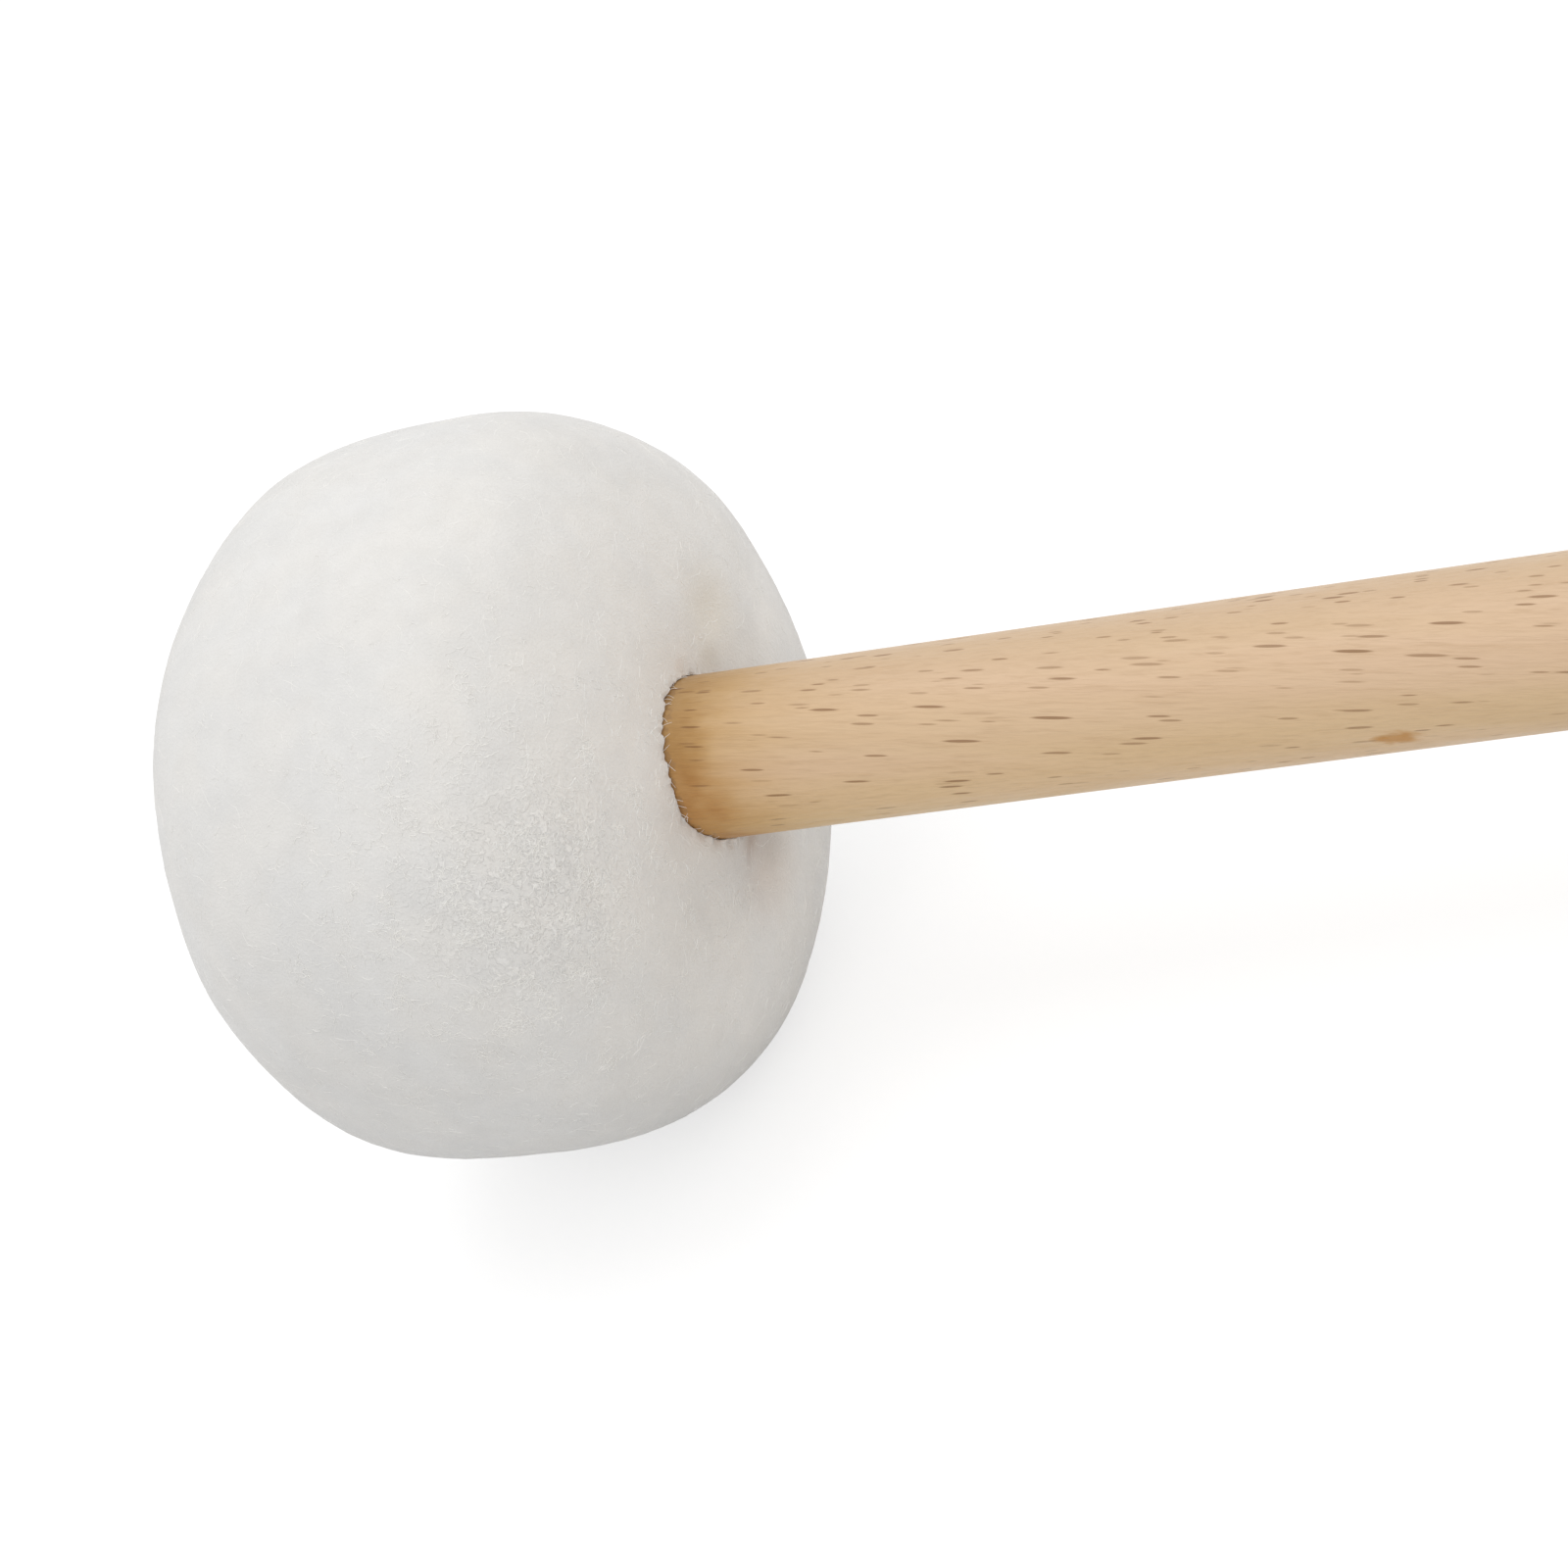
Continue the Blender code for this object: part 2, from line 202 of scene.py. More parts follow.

# Marks in the felt beside the stick, partly glue stain and partly painted shade in the hollows and painted
# shadow of the stick under it: degrees round the stick, distance from its axis, reach, what they let
# through
FELT_GLUE_AND_PAINTED_SHADE = (
    (63.0, 7.4 * MM, 3.4 * MM, (0.98, 0.955, 0.90)),
    (66.0, 5.0 * MM, 1.5 * MM, (0.85, 0.81, 0.75)),
    (35.0, 4.4 * MM, 1.1 * MM, (0.84, 0.75, 0.68)),
    (188.0, 6.8 * MM, 4.1 * MM, (0.87, 0.82, 0.79)),
    (176.0, 6.6 * MM, 2.2 * MM, (0.85, 0.84, 0.83)),
    (190.0, 5.0 * MM, 1.9 * MM, (0.68, 0.58, 0.51)),
)

# The glue stain of the wood, in millimetres: how far above the lip it is full, and how slowly it fades
# beyond that on the stick's lower and upper side
GLUE_FULL = 1.2
GLUE_FADES = (1.9, 3.0)

# Where the glue lies thick on the wood: degrees round the stick, distance along it, reach
GLUE_BLOTS = (
    (316.0, 12.8 * MM, 2.3 * MM),
    (277.0, 14.1 * MM, 1.7 * MM),
)
GLUE_BLOT_FACTOR = 1.6

# The orange smudge on the wood, in degrees and millimetres; it is longer along the stick
SMUDGE_DEGREES = 258.0
SMUDGE_ALONG = 49.8
SMUDGE_REACH = 0.95
SMUDGE_SQUEEZE = (0.45, 1.0, 1.0)

# The grain of the stick runs aslant near the head, by up to this much, towards this direction across it
GRAIN_SLANT = 0.125
GRAIN_SLANT_TOWARDS = Vector((0.0, 0.691, 0.723))
GRAIN_SLANT_MIDDLE = 40.0 * MM
GRAIN_SLANT_SPREAD = 80.0 * MM

# Figure of the beech: the scale along each axis that draws it out along the stick, the width of a ring in
# millimetres, and two sizes of flecks: length and width of the place of each in millimetres, share of
# places that hold one, strength
LENGTHWISE = (0.045, 1.0, 1.0)
RING_WIDTH = 1.7
FLECKS = (
    (5.2, 0.36, 0.58, 1.0),
    (3.2, 0.27, 0.42, 0.85),
)

# The Y and the Z of the side of the stick that is the upper one in the photograph
UPPER_SIDE = (0.64, 0.77)

# Colours, in linear light, and how dark the painted shade makes wool between its tufts
FELT_COOL = (0.799, 0.789, 0.771)
FELT_WARM = (0.802, 0.778, 0.741)
NAP_DULL = (0.88, 0.87, 0.845)
NAP_PALE = (0.92, 0.905, 0.87)
WADDING = (0.86, 0.86, 0.84)
GREY_FELT = (0.52, 0.50, 0.46)
RUBBER_BARE = (0.035, 0.035, 0.038)
RUBBER_DUSTY = (0.075, 0.074, 0.072)
THREAD_DULL = (0.60, 0.53, 0.40)
THREAD_WAXED = (0.76, 0.70, 0.57)
BEECH_ROSY = (0.702, 0.494, 0.326)
BEECH_GOLDEN = (0.678, 0.480, 0.294)
BEECH_LATE_WOOD = (0.600, 0.400, 0.225)
BEECH_UPPER = (0.600, 0.425, 0.262)
BEECH_STREAK = (0.520, 0.335, 0.185)
BEECH_HAIR = (0.400, 0.260, 0.140)
BEECH_FLECK = (0.315, 0.175, 0.082)
BEECH_END = (0.560, 0.375, 0.225)
BEECH_END_PORE = (0.330, 0.205, 0.110)
BEECH_AT_LIP = (0.340, 0.190, 0.085)
SMUDGE_TINT = (0.72, 0.48, 0.14)
GLUE_LOWER_TINT = (0.74, 0.55, 0.29)
GLUE_UPPER_TINT = (0.74, 0.61, 0.36)
YELLOW_TINT = (1.03, 1.02, 0.86)
WOOL_PAINTED_SHADE = 0.82

# The stage: half the floor's side, the grey it throws back on the mallet, the grey and the glow that the
# camera sees there, and the strength of the sky
FLOOR_HALF = 3.0
FLOOR_LIT = 0.62
FLOOR_SHOWN = 0.42
FLOOR_GLOW = 0.65
SKY_STRENGTH = 0.92

# Soft round lamps: the direction from the head in which each stands, its size, its power
LAMP_DISTANCE = 0.9
LAMPS = (
    ("above", (-0.15, 0.05, 1.0), 0.5, 1.4),
    ("near_side", (0.85, -0.35, 0.20), 0.5, 0.39),
    ("far_side", (0.55, 0.75, 0.30), 0.5, 0.36),
    ("butt_side", (0.93, 0.25, 0.18), 0.3, 0.30),
)

# The camera: the middle of the head lies at this pixel of the 1600-pixel frame, and this far away
IMAGE_SIDE = 1600
SENSOR_WIDTH = 36.0
FOCAL_PIXELS = 7496.4
HEAD_PIXEL = (522.44, 799.78)
HEAD_DEPTH = 359.54 * MM
CAMERA_AZIMUTH = 42.931
CAMERA_ELEVATION = 35.0
CAMERA_ROLL = -37.386
CAMERA_NEAR = 10.0 * MM
CAMERA_FAR = 20.0


def mount(name):
    """The place and the direction of one of the record's mounts."""
    found = next(entry for entry in frame["record"]["mounts"] if entry["name"] == name)
    return Vector(found["pos_m"]), Vector(found["axis"]).normalized()


BUTT_CENTRE, STICK_DIRECTION = mount("stick_butt")
SLOPE = math.atan2(-STICK_DIRECTION.z, STICK_DIRECTION.x)
HEAD_CENTRE = BUTT_CENTRE - BUTT_DISTANCE * STICK_DIRECTION
MALLET_AXIS = Matrix.Translation(HEAD_CENTRE) @ Matrix.Rotation(SLOPE, 4, "Y")
TO_AXIS = MALLET_AXIS.inverted()


# Shader trees

def add_node(tree, kind, inputs=None, **settings):
    """Add a shader node, change its settings, and link or set the inputs that are named."""
    made = tree.nodes.new("ShaderNode" + kind)
    for name, value in settings.items():
        setattr(made, name, value)
    for name, value in (inputs or {}).items():
        if isinstance(value, bpy.types.NodeSocket):
            tree.links.new(value, made.inputs[name])
        else:
            made.inputs[name].default_value = value
    return made


def new_material(name, **shader_inputs):
    """A material with a Principled shader: (the material, its tree, its shader)."""
    made = bpy.data.materials.new(name)
    made.use_nodes = True
    shader = made.node_tree.nodes["Principled BSDF"]
    for socket, value in shader_inputs.items():
        shader.inputs[socket.replace("_", " ")].default_value = value
    return made, made.node_tree, shader


def millimetres(tree):
    """Coordinates on the mallet's own axis, in millimetres."""
    inputs = {
        "Vector": add_node(tree, "TexCoord").outputs["Object"],
        "Location": HEAD_CENTRE,
        "Rotation": (0.0, SLOPE, 0.0),
        "Scale": (MM, MM, MM),
    }
    return add_node(tree, "Mapping", inputs, vector_type="TEXTURE").outputs[0]


def noise_value(tree, coordinates, scale, detail=2.0, rough=0.5, **settings):
    """Noise of about scale features to a millimetre, from 0 to 1."""
    inputs = {"Vector": coordinates, "Scale": scale, "Detail": detail, "Roughness": rough}
    return add_node(tree, "TexNoise", inputs, **settings).outputs[0]


def ranged(tree, value, low, high, to_low=0.0, to_high=1.0):
    """A value from low to high, smoothly taken to to_low to to_high."""
    inputs = {"Value": value, "From Min": low, "From Max": high, "To Min": to_low, "To Max": to_high}
    return add_node(tree, "MapRange", inputs, interpolation_type="SMOOTHSTEP").outputs[0]


def maths(tree, operation, one, other=0.0):
    """One operation on one or two values."""
    return add_node(tree, "Math", {0: one, 1: other}, operation=operation).outputs[0]


def plus(tree, one, other):
    """The sum of two values."""
    return maths(tree, "ADD", one, other)


def minus(tree, one, other):
    """One value less another."""
    return maths(tree, "SUBTRACT", one, other)


def times(tree, one, other):
    """The product of two values."""
    return maths(tree, "MULTIPLY", one, other)


def split(tree, vector):
    """The three parts of a vector."""
    return add_node(tree, "SeparateXYZ", {0: vector}).outputs


def scaled(tree, coordinates, scale):
    """Coordinates times a scale along each axis."""
    return add_node(tree, "Mapping", {"Vector": coordinates, "Scale": scale}).outputs[0]


def near(tree, coordinates, middle, reach):
    """1 in a middle, fading smoothly to 0 at a distance from it."""
    apart = add_node(tree, "VectorMath", {0: coordinates, 1: middle}, operation="DISTANCE")
    return ranged(tree, apart.outputs["Value"], reach, 0.0)


def near_on_neck_side(tree, place, degrees, radius, reach):
    """1 at a point of the head's neck side, fading smoothly to 0 at a distance from it."""
    middle = around(degrees, barrel_reach(radius, 0.0, 1), radius)
    return near(tree, place, middle / MM, reach / MM)


def mixed(tree, share, one, other, blend="MIX"):
    """Two colours mixed by a share, each a socket or three numbers."""
    made = add_node(tree, "Mix", {0: share}, data_type="RGBA", blend_type=blend)
    for index, colour in ((6, one), (7, other)):
        if isinstance(colour, bpy.types.NodeSocket):
            tree.links.new(colour, made.inputs[index])
        else:
            made.inputs[index].default_value = (*colour, 1.0)
    return made.outputs[2]


def tinted(tree, colour, share, tint):
    """A colour seen through a share of a tint."""
    return mixed(tree, share, colour, tint, "MULTIPLY")


def joined(tree, red, green, blue):
    """A colour from its three parts."""
    return add_node(tree, "CombineColor", {0: red, 1: green, 2: blue}).outputs[0]


def paint(tree, shader, colour):
    """Give a shader its base colour."""
    tree.links.new(colour, shader.inputs["Base Color"])


def bumped(tree, shader, height, depth, strength):
    """Give a shader a bump of a real depth from a height between 0 and 1."""
    made = add_node(tree, "Bump", {"Height": height, "Distance": depth, "Strength": strength})
    tree.links.new(made.outputs[0], shader.inputs["Normal"])


# Materials

def felt_material(name):
    """Pressed wool, cooler on the crown side, rough in one patch, glued at the neck, and painted with
    light and shade.
    """
    made, tree, shader = new_material(name, Roughness=0.93, Sheen_Weight=0.4, Sheen_Roughness=0.45)
    place = millimetres(tree)
    along, _, _ = split(tree, place)
    patches = ranged(tree, noise_value(tree, place, 0.3, 3.0), 0.36, 0.64, 0.0, 0.45)
    warmth = plus(tree, patches, ranged(tree, along, 1.0, 11.0, 0.0, 0.55))
    tone = mixed(tree, warmth, FELT_COOL, FELT_WARM)

    curls = noise_value(tree, place, 1.9, 5.0, 0.62, noise_type="RIDGED_MULTIFRACTAL", normalize=True)
    fibres = ranged(tree, curls, 0.25, 0.8)
    pits = ranged(tree, noise_value(tree, place, 6.5, 3.0, 0.6), 0.3, 0.7)
    specks = ranged(tree, noise_value(tree, place, 2.7, 3.5, 0.65), 0.46, 0.62)
    specks = times(tree, specks, near(tree, place, ROUGH_MIDDLE / MM, ROUGH_REACH / MM))

    clouds = ranged(tree, noise_value(tree, place, 0.9, 4.0), 0.3, 0.7, 0.970, 1.0)
    drifts = ranged(tree, noise_value(tree, place, 0.32, 1.0), 0.30, 0.70, 0.974, 1.012)
    # Painted highlights and shade on the relief: where the curls and the worn patch's specks rise in the
    # bump the colour is lighter, and it is darker between them
    shade = times(tree, clouds, ranged(tree, fibres, 0.0, 1.0, 0.985, 1.01))
    shade = times(tree, times(tree, shade, drifts), ranged(tree, specks, 0.0, 1.0, 0.976, 1.06))
    # Painted light and shade: two places of the head are painted lighter and one darker
    for degrees, radius, reach, factor in FELT_PAINTED_LIGHT_AND_SHADE:
        share = near_on_neck_side(tree, place, degrees, radius, reach)
        shade = times(tree, shade, ranged(tree, share, 0.0, 1.0, 1.0, factor))
    tone = tinted(tree, tone, 1.0, joined(tree, shade, shade, shade))
    # Glue stain and painted shade beside the stick: the hollows and the stick's shadow under it are
    # painted darker
    for degrees, radius, reach, mark_tint in FELT_GLUE_AND_PAINTED_SHADE:
        tone = tinted(tree, tone, near_on_neck_side(tree, place, degrees, radius, reach), mark_tint)
    paint(tree, shader, tone)

    height = plus(tree, times(tree, fibres, 0.6), times(tree, pits, 0.4))
    bumped(tree, shader, plus(tree, height, times(tree, specks, 1.4)), 0.05 * MM, 0.8)
    return made


def up_from_lip(tree, place):
    """How far, in millimetres, a point of the stick lies above the felt's tilted lip."""
    along, sideways, upwards = split(tree, place)
    turn = math.radians(LIP_TILT_TOWARDS)
    leaning = plus(tree, times(tree, upwards, math.cos(turn)), times(tree, sideways, math.sin(turn)))
    leaning = times(tree, leaning, LIP_TILT / STICK_RADIUS)
    dip = near(tree, place, LIP_DIP_MIDDLE / MM, LIP_DIP_REACH / MM)
    lip = minus(tree, leaning, times(tree, dip, LIP_DIP / MM))
    return minus(tree, minus(tree, along, (NECK_REACH - LIP_ROUNDING) / MM), lip)


def along_the_grain(tree, place, along):
    """Coordinates that stay the same across the grain while they follow its slant."""
    turn = maths(tree, "DIVIDE", minus(tree, along, GRAIN_SLANT_MIDDLE / MM), GRAIN_SLANT_SPREAD / MM)
    slant = times(tree, maths(tree, "SINE", turn), GRAIN_SLANT * GRAIN_SLANT_SPREAD / MM)
    shift = add_node(tree, "VectorMath", {0: GRAIN_SLANT_TOWARDS, "Scale": slant}, operation="SCALE")
    return add_node(tree, "VectorMath", {0: place, 1: shift.outputs[0]}, operation="ADD").outputs[0]


def ring_colours(tree, grain, lengthwise):
    """Beech that drifts between two tones, with darker late wood in each growth ring."""
    _, across, through = split(tree, grain)
    drift = noise_value(tree, lengthwise, 0.3, 2.0)
    wood = mixed(tree, ranged(tree, drift, 0.35, 0.65), BEECH_ROSY, BEECH_GOLDEN)
    warped = plus(tree, times(tree, drift, 3.2), times(tree, through, 0.35))
    ring = maths(tree, "FRACT", maths(tree, "DIVIDE", plus(tree, warped, across), RING_WIDTH))
    late_wood = ranged(tree, ring, 0.35, 0.93)
    return mixed(tree, times(tree, late_wood, 0.17), wood, BEECH_LATE_WOOD)


def flecked(tree, wood, grain, upper):
    """Wood with the short brown flecks of beech, which are rarer on its lower side."""
    rarer = ranged(tree, upper, 0.8, -2.6, 0.0, 0.32)
    for length, width, likely, strength in FLECKS:
        spindles = scaled(tree, grain, (1.0 / length, 1.0 / width, 1.0 / width))
        cell = add_node(tree, "TexVoronoi", {"Vector": spindles, "Scale": 1.0, "Randomness": 1.0})
        chance, darkness, _ = add_node(tree, "SeparateColor", {0: cell.outputs["Color"]}).outputs
        chance = plus(tree, chance, rarer)
        fleck = ranged(tree, cell.outputs["Distance"], 0.26, 0.15)
        fleck = times(tree, fleck, ranged(tree, chance, likely + 0.08, likely))
        fleck = times(tree, fleck, ranged(tree, darkness, 0.0, 1.0, 0.55 * strength, strength))
        wood = mixed(tree, fleck, wood, BEECH_FLECK)
    return wood


def smudged(tree, wood, place, grain):
    """Wood with one small ragged smudge."""
    middle = around(SMUDGE_DEGREES, SMUDGE_ALONG, STICK_RADIUS / MM)
    middle = scaled(tree, middle, SMUDGE_SQUEEZE)
    smudge = near(tree, scaled(tree, place, SMUDGE_SQUEEZE), middle, SMUDGE_REACH)
    ragged = noise_value(tree, scaled(tree, grain, SMUDGE_SQUEEZE), 2.0, 2.0)
    smudge = plus(tree, smudge, ranged(tree, ragged, 0.35, 0.65, -0.18, 0.18))
    return tinted(tree, wood, ranged(tree, smudge, 0.25, 0.9), SMUDGE_TINT)


def glued(tree, wood, place, lengthwise, above, upper):
    """Wood stained amber by glue at the felt's lip, in wisps, and thicker in a few places."""
    wisps = ranged(tree, noise_value(tree, lengthwise, 1.1, 3.0), 0.3, 0.7, -0.6, 0.6)
    past = maths(tree, "MAXIMUM", minus(tree, plus(tree, above, wisps), GLUE_FULL), 0.0)
    lower_fade, upper_fade = GLUE_FADES
    fade = ranged(tree, upper, -2.0, 3.0, -lower_fade, -upper_fade)
    soaked = maths(tree, "EXPONENT", maths(tree, "DIVIDE", past, fade))
    uneven = noise_value(tree, scaled(tree, place, (0.6, 1.0, 1.0)), 0.75, 2.0)
    soaked = times(tree, soaked, ranged(tree, uneven, 0.38, 0.62, 0.85, 1.15))
    for degrees, distance, reach in GLUE_BLOTS:
        blot = near(tree, place, around(degrees, distance, STICK_RADIUS) / MM, reach / MM)
        soaked = times(tree, soaked, ranged(tree, blot, 0.0, 1.0, 1.0, GLUE_BLOT_FACTOR))
    amber = mixed(tree, ranged(tree, upper, -2.6, 1.2), GLUE_LOWER_TINT, GLUE_UPPER_TINT)
    channels = add_node(tree, "SeparateColor", {0: amber}).outputs
    mark_tint = joined(tree, *(maths(tree, "POWER", channel, soaked) for channel in channels))
    return tinted(tree, wood, 1.0, mark_tint)


def beech_material():
    """Turned beech with its figure, end grain at the butt, one smudge, and glue stain at the neck."""
    made, tree, shader = new_material("beech", Coat_Weight=0.1, Coat_Roughness=0.35)
    place = millimetres(tree)
    along, sideways, upwards = split(tree, place)
    grain = along_the_grain(tree, place, along)
    lengthwise = scaled(tree, grain, LENGTHWISE)
    upper = plus(tree, times(tree, sideways, UPPER_SIDE[0]), times(tree, upwards, UPPER_SIDE[1]))

    wood = ring_colours(tree, grain, lengthwise)
    wood = mixed(tree, ranged(tree, upper, 1.2, 4.2, 0.0, 0.8), wood, BEECH_UPPER)
    streaks = noise_value(tree, scaled(tree, grain, (0.07, 1.0, 1.0)), 5.0, 3.0, 0.6)
    streaks = ranged(tree, streaks, 0.50, 0.72)
    wood = mixed(tree, times(tree, streaks, 0.31), wood, BEECH_STREAK)
    hairs = noise_value(tree, scaled(tree, grain, (0.5, 9.0, 9.0)), 1.0, 2.0, 0.7)
    hairs = ranged(tree, hairs, 0.42, 0.66)
    wood = mixed(tree, times(tree, hairs, 0.11), wood, BEECH_HAIR)
    wood = flecked(tree, wood, grain, upper)

    end_pores = noise_value(tree, scaled(tree, place, (0.2, 5.0, 5.0)), 1.0, 3.0, 0.7)
    end_grain = mixed(tree, ranged(tree, end_pores, 0.4, 0.7), BEECH_END, BEECH_END_PORE)
    butt = BUTT_DISTANCE / MM
    wood = mixed(tree, ranged(tree, along, butt - 0.5, butt - 0.1, 0.0, 0.75), wood, end_grain)

    wood = smudged(tree, wood, place, grain)
    above = up_from_lip(tree, place)
    wood = glued(tree, wood, place, lengthwise, above, upper)
    low_side = ranged(tree, upper, 0.0, -3.2)
    yellow = times(tree, low_side, ranged(tree, along, 80.0, 14.0, 0.4, 1.0))
    wood = tinted(tree, wood, yellow, YELLOW_TINT)
    # A ragged dark brown band on the wood right at the felt's lip
    dark_band_at_lip = ranged(tree, noise_value(tree, place, 2.6, 1.0), 0.45, 0.68, 0.0, 0.45)
    dark_band_at_lip = ranged(tree, minus(tree, above, dark_band_at_lip), 0.16, -0.08, 0.0, 0.5)
    paint(tree, shader, mixed(tree, dark_band_at_lip, wood, BEECH_AT_LIP))

    rough = ranged(tree, noise_value(tree, lengthwise, 2.0, 3.0), 0.3, 0.7, 0.42, 0.56)
    tree.links.new(rough, shader.inputs["Roughness"])
    bumped(tree, shader, minus(tree, streaks, times(tree, hairs, 0.8)), 0.012 * MM, 0.6)
    return made


def nap_material():
    """Single wool fibres, a little paler than the pressed felt under them."""
    made, tree, shader = new_material("nap", Roughness=0.9)
    tone = ranged(tree, noise_value(tree, millimetres(tree), 0.8, 2.0), 0.35, 0.65)
    paint(tree, shader, mixed(tree, tone, NAP_DULL, NAP_PALE))
    return made


def plain_wool_material(name, colour, scale):
    """Loose or firm wool that lies inside the head, with painted shade between its tufts."""
    made, tree, shader = new_material(name, Roughness=0.95)
    tufts = ranged(tree, noise_value(tree, millimetres(tree), scale, 4.0, 0.65), 0.3, 0.7)
    # Painted shade: the wool is darker where the bump lies low between its tufts
    darker = [WOOL_PAINTED_SHADE * channel for channel in colour]
    paint(tree, shader, mixed(tree, tufts, darker, colour))
    bumped(tree, shader, tufts, 0.08 * MM, 0.8)
    return made


def rubber_material():
    """Moulded black rubber with a dusty, slightly pitted skin."""
    made, tree, shader = new_material("rubber", Roughness=0.62)
    place = millimetres(tree)
    dust = ranged(tree, noise_value(tree, place, 0.8, 4.0), 0.35, 0.7)
    paint(tree, shader, mixed(tree, dust, RUBBER_BARE, RUBBER_DUSTY))
    tree.links.new(ranged(tree, dust, 0.0, 1.0, 0.55, 0.75), shader.inputs["Roughness"])
    bumped(tree, shader, noise_value(tree, place, 5.0, 3.0), 0.02 * MM, 0.5)
    return made


def thread_material():
    """Waxed linen thread."""
    made, tree, shader = new_material("waxed_thread", Roughness=0.45)
    place = millimetres(tree)
    wax = ranged(tree, noise_value(tree, place, 1.6, 3.0), 0.35, 0.65)
    paint(tree, shader, mixed(tree, wax, THREAD_DULL, THREAD_WAXED))
    bumped(tree, shader, noise_value(tree, place, 14.0, 2.0), 0.02 * MM, 0.5)
    return made


# Meshes

def around(degrees, along, radius):
    """The point at an angle round the stick's axis, measured from the top towards +Y."""
    turn = math.radians(degrees)
    return Vector((along, radius * math.sin(turn), radius * math.cos(turn)))


def bump(distance, spread):
    """A soft rise that is 1 in its middle and fades to nothing."""
    return math.exp(-((distance / spread) ** 2))


def barrel_reach(radius, inset, side):
    """How far the head's outline, drawn in by an inset, reaches along the axis at a radius."""
    reach = (NECK_REACH if side > 0 else CROWN_REACH) - inset
    share = min(radius / (HEAD_RADIUS - inset), 1.0)
    return side * reach * (1.0 - share**BARREL_POWER) ** (1.0 / BARREL_POWER)


def barrel_outline(inset, neck_radius, step):
    """The head's outline, drawn in by an inset, in even steps from the crown to a radius at the neck."""
    power = 2.0 / BARREL_POWER
    radius = HEAD_RADIUS - inset
    last = math.acos((neck_radius / radius) ** (1.0 / power))
    points = []
    for index in range(OUTLINE_POINTS + 1):
        turn = -math.pi / 2 + (last + math.pi / 2) * index / OUTLINE_POINTS
        side = 1.0 if turn > 0.0 else -1.0
        reach = (NECK_REACH if turn > 0.0 else CROWN_REACH) - inset
        along = side * reach * abs(math.sin(turn)) ** power
        points.append((along, radius * abs(math.cos(turn)) ** power))
    points[0] = (points[0][0], 0.0)
    return evenly(points, step)


def evenly(points, step):
    """The points of a line again, a step apart."""
    lengths = [0.0]
    for one, other in zip(points, points[1:]):
        lengths.append(lengths[-1] + math.dist(one, other))
    count = max(1, round(lengths[-1] / step))
    made, index = [], 0
    for number in range(count + 1):
        wanted = lengths[-1] * number / count
        while index < len(points) - 2 and lengths[index + 1] < wanted:
            index += 1
        share = (wanted - lengths[index]) / (lengths[index + 1] - lengths[index])
        made.append(between(points[index], points[index + 1], share))
    return made


def between(one, other, share):
    """The point that lies a share of the way from one point to another."""
    return tuple(a + (b - a) * share for a, b in zip(one, other))


def arc(centre, radius, start_degrees, end_degrees, steps):
    """Points of a round stretch of a profile: 0 degrees is along +X, 90 degrees away from the axis."""
    points = []
    for step in range(steps + 1):
        turn = math.radians(start_degrees + (end_degrees - start_degrees) * step / steps)
        points.append((centre[0] + radius * math.cos(turn), centre[1] + radius * math.sin(turn)))
    return points


def turned(profile, sides, closed=False):
    """Places and faces of a profile of (along, radius) points, turned about the X axis."""
    places, rows, faces = [], [], []
    for along, radius in profile:
        count = sides if radius > 0.0 else 1
        rows.append([len(places) + side for side in range(count)])
        places += [around(360.0 * side / sides, along, radius) for side in range(count)]
    for one, other in zip(rows, rows[1:] + rows[:1] if closed else rows[1:]):
        for side in range(sides):
            corners = [one[side % len(one)], one[(side + 1) % len(one)]]
            corners += [other[(side + 1) % len(other)], other[side % len(other)]]
            corners = list(dict.fromkeys(corners))
            if len(corners) > 2:
                faces.append(corners)
    return places, faces


def tube(path, reach, sides, places, faces):
    """Add a closed tube along a path to lists of places and faces; reach(index, turn) is its radius."""
    start = len(places)
    side = (path[1] - path[0]).orthogonal().normalized()
    for index, place in enumerate(path):
        ahead = path[min(index + 1, len(path) - 1)] - path[max(index - 1, 0)]
        ahead.normalize()
        side = (side - side.dot(ahead) * ahead).normalized()
        other = ahead.cross(side)
        for corner in range(sides):
            turn = math.tau * corner / sides
            places.append(place + reach(index, turn) * (math.cos(turn) * side + math.sin(turn) * other))
    for index in range(len(path) - 1):
        for corner in range(sides):
            following = (corner + 1) % sides
            low, high = start + index * sides, start + (index + 1) * sides
            faces.append((low + corner, low + following, high + following, high + corner))
    faces.append([start + corner for corner in range(sides)][::-1])
    faces.append([len(places) - sides + corner for corner in range(sides)])


def mesh_from(name, places, faces):
    """A smooth mesh whose faces point out."""
    mesh = bpy.data.meshes.new(name)
    mesh.from_pydata(places, [], faces)
    bm = bmesh.new()
    bm.from_mesh(mesh)
    bmesh.ops.recalc_face_normals(bm, faces=bm.faces)
    bm.to_mesh(mesh)
    bm.free()
    mesh.shade_smooth()
    return mesh


def normals_of(mesh):
    """The direction in which each point of a mesh faces, kept apart from the mesh."""
    return [vert.normal.copy() for vert in mesh.vertices]


def roughened(mesh, depth, size):
    """Swell a mesh by up to a depth, in soft lumps of a size."""
    for vert, normal in zip(mesh.vertices, normals_of(mesh)):
        lump = 0.5 + 0.5 * noise.noise(vert.co / size)
        vert.co = vert.co + depth * lump * normal
    return mesh


